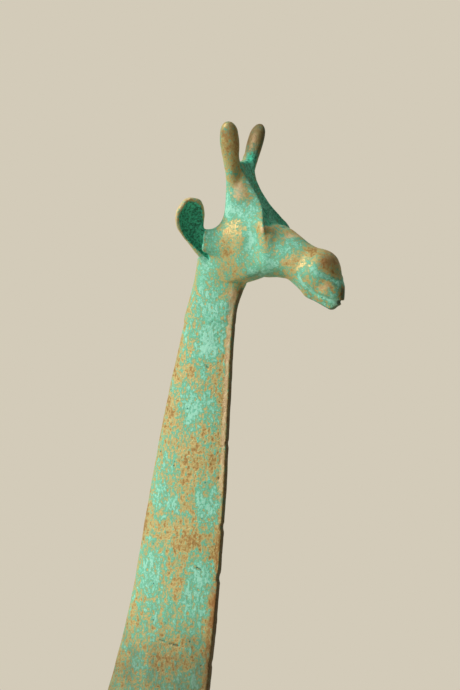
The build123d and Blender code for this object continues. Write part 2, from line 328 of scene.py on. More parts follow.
def skull_field(side):
    """Level sections: half an oval at the back, a wedge in front, and the hollow of its front face."""
    back, half, ridge, ridge_half, depth = through(SKULL, side[:, 2])
    u = side[:, 0] - SKULL_MIDDLE
    forward = 0.5 * (u + np.sqrt(u**2 + 12.0))
    run = np.maximum(ridge - SKULL_MIDDLE, 1.0)
    flare = np.maximum(ridge_half - half, 0.0) * (forward / run) ** 3
    taper = np.minimum(ridge_half - half, 0.0) * (forward / run) ** 1.6
    width = np.maximum(half + flare + taper, 0.5)
    skin = oval(np.minimum(u, 0.0), side[:, 1], SKULL_MIDDLE - back, width, 2.3)
    skin = skin / np.sqrt(1.0 + (taper / np.maximum(forward, 1.0)) ** 2)
    share = side[:, 1] / ridge_half
    face = side[:, 0] - ridge + depth * (1.0 - share**2)
    face = face / np.sqrt(1.0 + (2.0 * depth * share / ridge_half) ** 2)
    skull = smooth_carve(skin, -face, 0.8)
    skull = smooth_carve(skull, SKULL[-1][0] - side[:, 2], 1.5)
    return np.maximum(skull, SKULL[0][0] - side[:, 2])


def muzzle_field(side):
    middle, above, below, half_width, power = through(BRIDGE, side[:, 0])
    rise = side[:, 2] - middle
    power = np.where(rise > 0, power, 2.2)
    root = oval(side[:, 1], rise, half_width, np.where(rise > 0, above, below), power)
    root = np.maximum(root, np.maximum(side[:, 0] - BRIDGE[-1][0], BRIDGE[0][0] - side[:, 0]))
    pressed = side * (1.0, MUZZLE_PRESS, 1.0)
    snout = chain(pressed, [(x, 0.0, z, r) for x, z, r in MUZZLE], 1.0)
    jaw = chain(pressed, [(x, 0.0, z, r) for x, z, r in JAW], 0.8)
    return smooth_union(smooth_union(root, snout, 2.0), jaw, 0.8)


def path_distance(points, path):
    """Distance to a path seen square on from the side."""
    flat = points[:, (0, 2)]
    return np.min([rod(flat, a, b, 0.0, 0.0) for a, b in zip(path[:-1], path[1:])], axis=0)


MOUTH_LINE = [(67.0, 503.4), (68.4, 500.4), (70.6, 498.1), (74.0, 496.2), (77.6, 494.8), (79.4, 494.2)]
NOSTRIL_LINE = [(73.4, 504.6), (77.2, 502.4), (80.6, 500.4)]


def face_lines(side, head):
    """Mouth, nostril fold, and the hollows and swells of the cheek."""
    mouth = path_distance(side, MOUTH_LINE)
    here = np.clip((side[:, 0] - 66.0) / 2.0, 0.0, 1.0)
    head = head + here * (0.4 * np.exp(-((mouth / 0.45) ** 2)) - 0.28 * np.exp(-(((mouth - 1.2) / 0.6) ** 2)))
    head = smooth_carve(head, chain(side, MOUTH_NOTCH, 0.1), 0.4)
    fold = path_distance(side, NOSTRIL_LINE)
    fade = np.clip((side[:, 0] - 73.0) / 2.0, 0.0, 1.0) * np.clip((80.4 - side[:, 0]) / 1.5, 0.0, 1.0)
    head = head - fade * (0.6 * np.exp(-(((fold - 0.95) / 0.5) ** 2)) - 0.3 * np.exp(-((fold / 0.35) ** 2)))
    for height, centre, spread in FACE_SWELLS:
        head = head - height * mound(side, centre, spread)
    return head


# Swells and hollows of the right side of the face: height, middle, spread
FACE_SWELLS = [
    (-0.7, (50.4, -9.0, 513.6), (1.9, 3.0, 4.2)),
    (0.5, (44.5, -8.0, 514.5), (4.0, 4.0, 5.0)),
    (-0.4, (59.2, -8.0, 512.0), (1.6, 3.0, 3.4)),
    (0.4, (63.0, -6.5, 512.0), (3.0, 3.0, 3.5)),
    (0.5, (55.3, -9.2, 518.6), (0.9, 0.9, 1.0)),
    (0.6, (42.6, -6.0, 530.0), (3.5, 3.0, 6.0)),
]
CURLS = [(53.6, -2.6, 522.6, 0.95), (56.6, -1.8, 520.2, 1.25), (52.0, -0.2, 525.0, 0.8)]


def forehead_curls(points, head):
    """Small rings of wax left standing in the forehead's trough."""
    for x, y, z, size in CURLS:
        ring = np.abs(np.linalg.norm((points - (x, y, z)) * (0.45, 1.0, 1.0), axis=1) - size)
        head = head - 0.4 * np.exp(-((ring / 0.32) ** 2))
    return head


def horn_field(side):
    rise = side[:, 2] - HORN_JOINT
    u = side[:, 0] - HORN_FOOT[0] - HORN_LEAN[0] * rise
    v = side[:, 1] + HORN_FOOT[1] + HORN_LEAN[1] * rise
    along = u * cos(HORN_TURN) + v * sin(HORN_TURN)
    across = v * cos(HORN_TURN) - u * sin(HORN_TURN)
    long_half, short_half = through(HORN, side[:, 2])
    ring = oval(along, across, long_half, short_half)
    top = np.maximum(ring, side[:, 2] - TOTAL_HEIGHT)
    return np.maximum(top, HORN[0][0] - side[:, 2])


def ear_coordinates(points, hand=None):
    """Place in the ear's own directions: along its bowed axis, across the leaf, out of its hollow."""
    left = points[:, 1] > 0 if hand is None else np.full(len(points), hand > 0)
    offset = points * np.where(left[:, None], (1.0, -1.0, 1.0), (1.0, 1.0, 1.0)) - EAR_ROOT
    offset[:, 0] -= np.where(left, LEFT_EAR_FORWARD, 0.0)
    along = offset @ EAR_AXIS
    share = np.clip(along / EAR[-1][0], 0.0, 1.0)
    offset = offset + np.outer(4.0 * EAR_BOW * share * (1.0 - share), (1.0, 0.0, 0.0))
    return along, offset @ EAR_BREADTH, offset @ EAR_OPENS


def ear_field(points):
    along, across, out = ear_coordinates(points)
    half_width, half_thickness = through(EAR, along)
    leaf = oval(across, out - 0.05 * across**2, half_width, half_thickness)
    return np.maximum(leaf, np.maximum(along - EAR[-1][0], EAR[0][0] - along))


def ear_hollow(points):
    along, across, out = ear_coordinates(points)
    half_width, half_thickness = through(EAR_HOLLOW, along)
    shift = EAR_HOLLOW_SHIFT * np.clip(1.0 - along / 8.0, 0.0, 1.6)
    hollow = oval(across + shift, out - EAR_HOLLOW_LIFT, half_width, half_thickness)
    return np.maximum(hollow, np.maximum(along - EAR_HOLLOW[-1][0], EAR_HOLLOW[0][0] - along))


def head_field(points):
    side = mirrored(points)
    head = smooth_union(skull_field(side), muzzle_field(side), 1.2)
    head = smooth_union(head, neck_field(points), 4.0)
    fork = np.maximum(np.abs(side[:, 1]) - FORK_HALF, FORK_HEIGHT + 0.03 * side[:, 1] ** 2 - side[:, 2])
    head = smooth_carve(head, fork, 1.0)
    head = smooth_union(head, horn_field(side), 1.8)
    head = face_lines(side, head)
    head = forehead_curls(points, head)
    saddle = smooth_union(*(chain(side, stations, 0.0) for stations in EAR_SADDLE), 3.5)
    head = smooth_union(head, saddle, 2.5)
    head = smooth_union(head, ear_field(points), 1.8)
    return smooth_carve(head, ear_hollow(points), 0.7)


def leg_field(points, stations):
    x, y, half_length, half_width = through(stations, points[:, 2])
    ring = oval(points[:, 0] - x, points[:, 1] - y, half_length, half_width)
    leg = np.maximum(ring, points[:, 2] - stations[-1][0])
    cleft = np.hypot((points[:, 1] - y) / 0.7, np.maximum(points[:, 2] - 9.0, 0.0) / 2.0) - 1.0
    cleft = np.maximum(cleft, x + half_length - 2.2 - points[:, 0])
    leg = smooth_carve(leg, cleft, 0.5)
    return smooth_carve(leg, points[:, 2], 0.6)


def tail_field(points):
    tail = chain(points, [(x, 0.0, z, r) for x, z, r in TAIL], 1.0)
    around = np.arctan2(points[:, 1], points[:, 0] - TAIL[-1][0])
    tuft = np.clip((170.0 - points[:, 2]) / 6.0, 0.0, 1.0)
    return tail + 0.22 * tuft * np.cos(7 * around + 0.35 * points[:, 2])


# Shoulder, haunch and the hollow of the flank, right side: height, middle, spread
BODY_SWELLS = [
    (1.3, (10.0, -15.0, 256.0), (7.0, 6.0, 15.0)),
    (1.2, (-58.0, -13.0, 243.0), (8.0, 6.0, 13.0)),
    (-1.2, (-28.0, -15.0, 236.0), (13.0, 5.0, 9.0)),
]


def body_field(points):
    side = mirrored(points)
    z, half_height, half_width = through(TRUNK, points[:, 0])
    trunk = oval(points[:, 1], points[:, 2] - z, half_width, half_height, 2.1)
    trunk = smooth_carve(trunk, TRUNK[-1][0] - points[:, 0], 6.0)
    trunk = np.maximum(trunk, TRUNK[0][0] - points[:, 0])
    body = smooth_union(trunk, neck_field(points), 9.0)
    for stations in (FRONT_LEG, REAR_LEG):
        body = smooth_union(body, leg_field(side, stations), 5.0)
    for height, centre, spread in BODY_SWELLS:
        body = body - height * mound(side, centre, spread)
    return smooth_union(body, tail_field(points), 1.5)


# ------------------------------------------------------------------------------ meshing the field
def surface_net(field, low, cell):
    """Quads round the zero level of a field on a grid: one point in every cell that it crosses."""
    cells = np.array(field.shape) - 1
    total = np.zeros((*cells, 3))
    count = np.zeros(cells)
    crossings = []
    for axis in range(3):
        here = np.take(field, range(cells[axis]), axis)
        there = np.take(field, range(1, cells[axis] + 1), axis)
        crossed = (here < 0) != (there < 0)
        crossings.append((crossed, here < 0))
        place = np.indices(here.shape).transpose(1, 2, 3, 0).astype(float)
        gap = np.where(crossed, here - there, 1.0)
        place[..., axis] += np.where(crossed, here / gap, 0.0)
        place *= crossed[..., None]
        others = [a for a in range(3) if a != axis]
        for step in ((0, 0), (0, 1), (1, 0), (1, 1)):
            window = [slice(None)] * 3
            for other, offset in zip(others, step):
                window[other] = slice(offset, offset + cells[other])
            total += place[tuple(window)]
            count += crossed[tuple(window)]
    used = count > 0
    number = np.full(cells, -1)
    number[used] = np.arange(used.sum())
    vertices = low + cell * total[used] / count[used][:, None]
    quads = []
    for axis, (crossed, solid_first) in enumerate(crossings):
        others = [a for a in range(3) if a != axis]
        inner = [slice(None)] * 3
        for other in others:
            inner[other] = slice(1, cells[other])
        spots = np.argwhere(crossed[tuple(inner)])
        outward = solid_first[tuple(inner)][tuple(spots.T)]
        corners = []
        for step in ((0, 0), (1, 0), (1, 1), (0, 1)):
            place = spots.copy()
            place[:, others[0]] += step[0]
            place[:, others[1]] += step[1]
            corners.append(number[tuple(place.T)])
        ring = np.stack(corners, axis=1)
        turn = outward if axis != 1 else ~outward
        quads.append(np.where(turn[:, None], ring, ring[:, ::-1]))
    return vertices, np.concatenate(quads)


def slope(field, points, step=0.05):
    moves = step * np.eye(3)
    return np.stack([field(points + m) - field(points - m) for m in moves], axis=1) / (2 * step)


def settle(field, points, rounds=3):
    """Moves points onto the field's surface, and gives the surface's outward normals."""
    for _ in range(rounds):
        gradient = slope(field, points)
        steep = np.maximum(np.linalg.norm(gradient, axis=1), 0.2)
        reach = np.clip(field(points) / steep, -0.4, 0.4) / steep
        points = points - reach[:, None] * gradient
    gradient = slope(field, points)
    return points, gradient / np.maximum(np.linalg.norm(gradient, axis=1), 1e-6)[:, None]


def grid_field(field, low, high, cell, stride=4):
    """Field on a grid, worked out fully only in the blocks that the surface may cross."""
    low, high = np.array(low, float), np.array(high, float)
    blocks = np.ceil((high - low) / (cell * stride)).astype(int)
    middles = low + cell * stride * (np.indices(blocks).reshape(3, -1).T + 0.5)
    rough = field(middles).reshape(blocks)
    grid = rough.repeat(stride, 0).repeat(stride, 1).repeat(stride, 2)
    near = np.abs(grid) < 1.7 * stride * cell
    spots = np.argwhere(near)
    grid[near] = field(low + cell * spots)
    return grid, low


def clip(vertices, triangles, beyond):
    """Cuts a triangle mesh where beyond(points) is 0, keeps the part below, and caps the cut.

    A vertex is a row: its place, then values that are carried along the cut edges.
    """
    level = beyond(vertices[:, :3])
    outside = level > 0
    state = outside[triangles].sum(axis=1)
    whole = triangles[state == 0]
    cut = triangles[(state == 1) | (state == 2)]
    if len(cut) == 0:
        return vertices, whole
    one_out = outside[cut].sum(axis=1) == 1
    lone = np.argmax(outside[cut] == one_out[:, None], axis=1)
    rows = np.arange(len(cut))
    a, b, c = (cut[rows, (lone + i) % 3] for i in range(3))
    pairs = np.sort(np.concatenate([np.stack([a, b], 1), np.stack([a, c], 1)]), axis=1)
    pairs, place = np.unique(pairs, axis=0, return_inverse=True)
    place = place.reshape(-1) + len(vertices)
    p, q = pairs.T
    share = (level[p] / (level[p] - level[q]))[:, None]
    rim = vertices[p] + share * (vertices[q] - vertices[p])
    ab, ac = place[: len(cut)], place[len(cut) :]
    far, near = one_out, ~one_out
    vertices = np.concatenate([vertices, rim])
    parts = [
        whole,
        np.stack([ab[far], b[far], c[far]], 1),
        np.stack([ab[far], c[far], ac[far]], 1),
        np.stack([a[near], ab[near], ac[near]], 1),
    ]
    starts, ends = np.concatenate([ab[far], ac[near]]), np.concatenate([ac[far], ab[near]])
    return vertices, np.concatenate(parts + cap_loops(vertices, dict(zip(starts.tolist(), ends.tolist()))))


def cap_loops(vertices, follows):
    """Flat faces that close every ring of a cut; follows gives each rim vertex its next one."""
    caps = []
    while follows:
        start, vertex = follows.popitem()
        ring = [start]
        while vertex != start:
            ring.append(vertex)
            vertex = follows.pop(vertex)
        corners = [Vector(vertices[i, :3]) for i in ring]
        faces = np.array(ring)[np.array(geometry.tessellate_polygon([corners]), int).reshape(-1, 3)]
        a, b, c = (vertices[faces[:, i], :3] for i in range(3))
        middle = Vector(vertices[ring, :3].mean(axis=0))
        facing = sum(np.cross(corners[i - 1] - middle, corners[i] - middle) for i in range(len(ring)))
        wrong = np.cross(b - a, c - a) @ facing < 0
        faces[wrong] = faces[wrong][:, ::-1]
        caps.append(faces)
    return caps


def drop_unused(vertices, triangles):
    used = np.unique(triangles)
    place = np.full(len(vertices), -1)
    place[used] = np.arange(len(used))
    return vertices[used], place[triangles]


# --------------------------------------------------------------------------- hand-worked surface
def wax_skin(points):
    """How far the hand-smoothed wax stands proud of the plain form, in mm."""
    spots = [Vector(point) for point in points]
    return np.array([0.16 * noise.noise(spot * 0.11) + 0.07 * noise.noise(spot * 0.33) for spot in spots])


def hollow_and_worn(field, points, normals):
    """Two measures of every point: how deep it lies in a hollow, how far it stands on an edge."""
    recess = np.zeros(len(points))
    crest = np.zeros(len(points))
    for reach in (0.7, 1.6, 3.2):
        recess += np.clip(1.0 - field(points + reach * normals) / reach, 0.0, 1.5) / 3.0
        crest += np.clip(1.0 + field(points - reach * normals) / reach, 0.0, 1.5) / 3.0
    sheltered = in_ear_or_trough(points)
    return recess + 0.7 * sheltered, crest * (1.0 - sheltered)


def in_ear_or_trough(points):
    """1 on the inside of the ears' leaves and on the forehead between its ridges, 0 elsewhere."""
    side = mirrored(points)
    ear = np.exp(-((ear_hollow(points) / 0.45) ** 2))
    _, _, ridge, ridge_half, depth = through(SKULL, side[:, 2])
    share = side[:, 1] / ridge_half
    front = np.abs(side[:, 0] - ridge + depth * (1.0 - share**2))
    between = np.clip((1.06 - np.abs(share)) / 0.12, 0.0, 1.0)
    level = np.clip((side[:, 2] - 518.6) / 1.4, 0.0, 1.0) * np.clip((547.0 - side[:, 2]) / 3.0, 0.0, 1.0)
    trough = np.clip(1.0 - (front - 1.0) / 1.0, 0.0, 1.0) * between * level
    return np.maximum(ear, 0.75 * trough)


# Blooms of the patina on the right side, which the left side mirrors: x, height, reach along and up,
# strength of the green, strength of the copper; a negative green is bare golden bronze
BLOOMS = [
    # Gold and copper on the cheek top, partly a painted highlight
    (44.4, 531.5, 3.0, 3.4, -0.7, 0.5),
    (41.0, 528.8, 1.7, 3.4, 0.9, -0.3),
    (45.9, 527.4, 1.6, 2.2, 0.8, -0.3),
    (42.9, 524.4, 4.6, 2.4, 0.7, -0.5),
    (47.9, 527.8, 1.3, 2.6, -0.5, 0.9),
    (51.0, 525.5, 2.4, 5.0, 0.5, -0.4),
    (43.0, 516.9, 4.0, 5.6, -0.6, 0.1),
    (50.2, 514.9, 2.2, 5.4, 1.0, -0.6),
    (57.6, 516.0, 2.2, 2.8, -0.3, 0.6),
    (64.2, 512.6, 3.6, 3.4, 0.8, -0.5),
    # Gold and copper on the snout's side, partly a painted highlight
    (64.4, 516.8, 3.0, 1.6, -0.8, 0.5),
    (59.0, 507.7, 3.6, 2.6, 0.7, -0.4),
    (64.4, 507.4, 2.8, 2.0, -0.7, 0.1),
    (70.6, 511.4, 3.6, 2.8, -0.9, 0.1),
    (77.2, 508.6, 3.2, 3.4, -0.6, 0.8),
    (73.0, 506.0, 1.8, 2.6, 0.9, -0.4),
    (77.0, 499.0, 3.6, 3.0, -0.6, 0.5),
    (77.6, 493.0, 3.4, 1.6, 0.9, -0.3),
    (53.2, 504.6, 6.0, 1.6, 0.6, 0.0),
    (40.0, 505.4, 4.4, 5.2, -0.7, 0.2),
    (31.6, 506.0, 3.0, 5.4, 0.7, -0.2),
    (35.4, 514.8, 3.0, 4.0, 0.8, -0.5),
    (42.5, 552.0, 7.0, 8.0, -0.4, 0.6),
    (34.0, 490.4, 4.6, 4.0, 0.8, -0.3),
    (32.8, 482.2, 4.2, 5.0, 0.9, -0.4),
    (31.0, 476.5, 3.8, 4.0, 0.7, -0.3),
    (29.0, 470.6, 3.0, 4.0, 0.2, -0.2),
    (23.6, 468.3, 4.6, 5.2, -0.6, 0.0),
    (27.0, 459.5, 2.0, 2.6, 0.9, -0.3),
    (25.0, 455.0, 2.0, 2.4, 0.9, -0.3),
    (31.8, 455.2, 1.8, 3.0, 0.8, -0.3),
    (23.4, 463.2, 1.6, 3.6, 0.8, -0.3),
    (16.6, 454.8, 3.0, 7.0, -0.8, 0.3),
    (18.2, 443.0, 2.8, 6.6, 0.6, 0.0),
    (27.6, 440.8, 5.4, 6.0, -0.6, 0.0),
    (14.5, 427.0, 4.2, 7.0, 0.6, -0.1),
    (22.0, 428.0, 2.6, 7.0, -0.6, 0.1),
    (31.4, 424.0, 4.2, 6.0, 0.7, -0.1),
    (13.0, 418.6, 4.6, 4.0, -0.7, 0.2),
    (24.4, 413.8, 6.0, 4.6, -0.9, 0.2),
    (11.0, 399.6, 4.6, 12.0, 0.6, 0.0),
    (28.6, 399.6, 4.4, 7.0, 0.8, -0.3),
    (26.0, 389.6, 4.4, 6.0, 0.6, -0.2),
    (18.6, 403.0, 2.8, 8.0, -0.6, 0.1),
    (32.6, 392.4, 2.2, 5.4, -0.4, 0.7),
    (13.0, 372.6, 7.0, 5.0, -0.8, 0.3),
    (5.6, 370.2, 3.4, 3.4, 0.9, -0.2),
    (21.8, 365.4, 6.0, 3.2, 0.7, -0.1),
]
# Where a brown film dims the metal, and where painted light is laid on: x, height, reach along and up,
# strength.
# The horns and the nose top get brown film; a band along the jaw's lower edge and the muzzle's front are
# darkened.
# The three weak negative strengths lighten the lips, the muzzle and the neck's top: painted light against
# their shade.
# The four strong negative ones are painted highlights on the cheek top, the snout's side, the brow corner and
# the muzzle's front.
FILM_AND_PAINTED_LIGHT = [
    (42.5, 552.0, 6.0, 8.0, 0.35),
    (77.0, 508.0, 4.0, 3.6, 0.4),
    (79.5, 497.0, 2.5, 5.0, 0.35),
    (54.0, 503.0, 12.0, 1.6, 0.4),
    (72.0, 496.0, 6.0, 4.0, -0.2),
    (65.0, 506.0, 6.0, 5.0, -0.3),
    (32.0, 497.0, 8.0, 6.0, -0.3),
    (44.2, 531.6, 2.0, 3.2, -1.1),
    (63.4, 516.4, 2.8, 1.4, -0.9),
    (55.2, 518.4, 0.9, 1.3, -1.3),
    (77.4, 499.2, 2.6, 1.8, -0.7),
]
# Dark pits and a dark scratch in the neck's right side: ends as x, height, then radius
PITS = [
    ((33.0, 487.4), (33.0, 487.4), 0.35),
    ((34.4, 434.4), (34.6, 434.0), 0.3),
    ((24.8, 391.4), (24.8, 391.4), 0.35),
    ((28.9, 383.6), (28.9, 383.6), 0.3),
    ((17.0, 377.6), (19.8, 377.0), 0.45),
    ((13.2, 378.8), (15.0, 378.6), 0.3),
    ((26.8, 403.6), (28.2, 403.0), 0.4),
    ((30.4, 472.6), (31.2, 471.6), 0.3),
]


def patina(points):
    """Green and copper of the patina, brown film with painted shade and painted highlights, the pits, and how
    grainy the casting's surface is.
    """
    side = mirrored(points)
    flat = side[:, (0, 2)]
    green = np.zeros(len(points))
    copper = np.zeros(len(points))
    for x, height, along, up, more_green, more_copper in BLOOMS:
        near = np.exp(-0.7 * (((flat[:, 0] - x) / along) ** 2 + ((flat[:, 1] - height) / up) ** 2))
        green += more_green * near
        copper += more_copper * near
    rear, front, _, edge = through(NECK, points[:, 2])
    on_neck = np.clip((500.0 - points[:, 2]) / 3.0, 0.0, 1.0)
    on_neck = on_neck * np.clip((points[:, 2] - 318.0) / 20.0, 0.0, 1.0)
    nape = np.exp(-(((points[:, 0] - rear) / 2.6) ** 2)) * on_neck
    # Along the neck's front arris: gold, with copper low down, partly a painted highlight on the edge
    arris = np.exp(-(((points[:, 0] - front + 0.6) / 1.3) ** 2)) * on_neck
    low = np.clip((440.0 - points[:, 2]) / 40.0, 0.0, 1.0)
    green += -0.7 * nape - 0.8 * arris
    copper += 0.35 * nape + 0.8 * arris * low
    fold = path_distance(side, NOSTRIL_LINE) + 4.0 * (flat[:, 1] < 480)
    mouth = path_distance(side, MOUTH_LINE) + 4.0 * (flat[:, 1] < 480)
    green += 1.6 * np.exp(-((fold / 1.2) ** 2)) + 1.2 * np.exp(-((mouth / 0.7) ** 2))
    pits = np.zeros(len(points))
    for start, end, radius in PITS:
        pits += np.exp(-((rod(flat, start, end, 0.0, 0.0) / radius) ** 2)) * (points[:, 1] < 0)
    green -= 0.35 * np.clip((392.0 - points[:, 2]) / 40.0, 0.0, 1.0)
    grain = np.clip((502.0 - points[:, 2]) / 4.0, 0.15, 1.0)
    tarnish_and_painted_light = np.zeros(len(points))
    for x, height, along, up, strength in FILM_AND_PAINTED_LIGHT:
        near = np.exp(-0.7 * (((flat[:, 0] - x) / along) ** 2 + ((flat[:, 1] - height) / up) ** 2))
        tarnish_and_painted_light += strength * near
    # Painted shade: the left horn, which faces the studio's bright side, is darkened above 540 mm
    tarnish_and_painted_light += 0.5 * (points[:, 1] > 3) * np.clip((flat[:, 1] - 540.0) / 6.0, 0.0, 1.0)
    # Darker towards the bottom of the neck and in a band at 368 mm: partly brown film, partly painted shade
    # for the light falling off down the neck
    tarnish_and_painted_light += 0.3 * np.clip((400.0 - flat[:, 1]) / 40.0, 0.0, 1.0)
    tarnish_and_painted_light += 0.35 * np.exp(-(((flat[:, 1] - 368.0) / 16.0) ** 2))
    # Painted highlight: pale metal along the neck's front arris above 440 mm, where the edge catches the
    # light
    tarnish_and_painted_light -= 1.1 * arris * (1.0 - low) * (np.abs(points[:, 1]) > 0.8)
    # Painted shade: the neck's narrow front face is darkened as though in shadow
    facet = np.clip((points[:, 0] - front + 0.9) / 0.6, 0.0, 1.0)
    facet = facet * np.clip(0.3 + (edge / 2 - np.abs(points[:, 1])) / 0.5, 0.0, 1.0)
    tarnish_and_painted_light += 1.6 * facet * on_neck
    # Painted highlight: the ears' rims are lightened as though lit
    along, across, out = ear_coordinates(points)
    rim = np.clip((along - 9.0) / 4.0, 0.0, 1.0) * np.clip((25.0 - along) / 2.0, 0.0, 1.0)
    rim = rim * np.clip((np.abs(ear_hollow(points)) - 0.5) / 0.5, 0.0, 1.0) * (np.hypot(across, out) < 9.0)
    tarnish_and_painted_light -= 0.7 * rim
    return green, copper, tarnish_and_painted_light, pits, grain


def cast_piece(name, field, low, high, cell, cuts, skin=1.0):
    """One closed section of the casting, meshed inside a box, cut at its joints, with its patina, painted
    shade and painted highlights.
    """
    grid, low = grid_field(field, low, high, cell)
    points, quads = surface_net(grid, low, cell)
    points, normals = settle(field, points)
    recess, crest = hollow_and_worn(field, points, normals)
    green, copper, tarnish_and_painted_light, pits, grain = patina(points)
    points = points + (skin * wax_skin(points) - 0.3 * pits)[:, None] * normals
    vertices = np.column_stack([points, recess, crest, green, copper, tarnish_and_painted_light, pits, grain])
    triangles = np.concatenate([quads[:, (0, 1, 2)], quads[:, (0, 2, 3)]])
    for cut in cuts:
        vertices, triangles = clip(vertices, triangles, cut)
    vertices, triangles = drop_unused(vertices, triangles)
    mesh = bpy.data.meshes.new(f"{name}_bronze")
    mesh.from_pydata((vertices[:, :3] * MM).tolist(), [], triangles.tolist())
    mesh.shade_smooth()
    mesh.set_sharp_from_angle(angle=radians(62.0))
    for label, column in zip(MEASURES, vertices[:, 3:].T):
        layer = mesh.attributes.new(label, "FLOAT", "POINT")
        layer.data.foreach_set("value", column.astype(np.float32))
    piece = bpy.data.objects.new(f"{name}_bronze", mesh)
    bpy.context.scene.collection.objects.link(piece)
    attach(piece, "root")
    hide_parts(name)
    return piece


# ------------------------------------------------------------------------------------ the pieces
def below(height):
    return lambda points: points[:, 2] - height


def above(height):
    return lambda points: height - points[:, 2]


def beyond_ear_joint(hand):
    """Positive on the ear's side of its joint plane, near the ear only."""

    def level(points):
        along, across, out = ear_coordinates(points, hand)
        return np.minimum(along - EAR_JOINT, 8.0 - np.hypot(across, out))

    return level


def under_head_joint(points):
    """Positive under the neck joint, and not at the lips, which hang lower."""
    return np.minimum(HEAD_JOINT - points[:, 2], 54.0 - points[:, 0])


def beside(hand):
    """Positive on the other side of the giraffe's middle plane."""
    return lambda points: -hand * points[:, 1]


def only(level):
    return lambda points: -level(points)


def behind(x):
    """Positive behind an upright plane across the giraffe, at the height of the tail's root."""
    return lambda points: np.minimum(x - points[:, 0], 5.2 - np.hypot(points[:, 1], points[:, 2] - 248.5))


def behind_tail(points):
    """Positive on the tail's side of its joint with the rump."""
    root = behind(TAIL_JOINT_X)(points)
    hanging = np.minimum(-76.6 - points[:, 0], 243.0 - points[:, 2])
    return np.maximum(root, hanging)


def build_sections():
    pieces = []
    pieces.append(cast_piece(
        "head", head_field, (20, -22, 489), (85, 22, 548), 0.4,
        [under_head_joint, below(HORN_JOINT), beyond_ear_joint(-1), beyond_ear_joint(1)],
    ))
    for hand, word in ((-1, "right"), (1, "left")):
        reach = sorted((hand * -2.0, hand * 16.0))
        pieces.append(cast_piece(
            f"horn_{word}", head_field, (36, reach[0], 544), (49, reach[1], 557), 0.3,
            [above(HORN_JOINT), beside(hand)],
        ))
        reach = sorted((hand * 2.0, hand * 26.0))
        pieces.append(cast_piece(
            f"ear_{word}", head_field, (22, reach[0], 508), (42, reach[1], 534), 0.3,
            [only(beyond_ear_joint(hand))],
        ))
    pieces.append(cast_piece(
        "neck", head_field, (-28, -8, 318), (46, 8, 503), 0.45, [above(NECK_FOOT), below(HEAD_JOINT)],
    ))
    pieces.append(cast_piece(
        "body", body_field, (-86, -24, 195), (34, 24, 326), 0.9,
        [below(NECK_FOOT), above(LEG_JOINT), behind_tail], 2.0,
    ))
    for stations, end, x in ((FRONT_LEG, "front", 10.0), (REAR_LEG, "rear", -66.0)):
        for hand, word in ((-1, "right"), (1, "left")):
            reach = sorted((hand * 2.0, hand * 33.0))
            pieces.append(cast_piece(
                f"leg_{end}_{word}",
                lambda points, s=stations, h=hand: leg_field(points * (1.0, -h, 1.0), s),
                (x - 16, reach[0], -2), (x + 18, reach[1], 204), 0.8, [below(LEG_JOINT)],
            ))
    pieces.append(cast_piece(
        "tail", body_field, (-86, -6, 145), (-68, 6, 256), 0.5, [only(behind_tail)],
    ))
    return pieces


# -------------------------------------------------------------------------------------- material
def srgb(red, green, blue):
    """Linear colour of an 8-bit display colour."""
    return tuple(((c / 255 + 0.055) / 1.055) ** 2.4 for c in (red, green, blue)) + (1.0,)


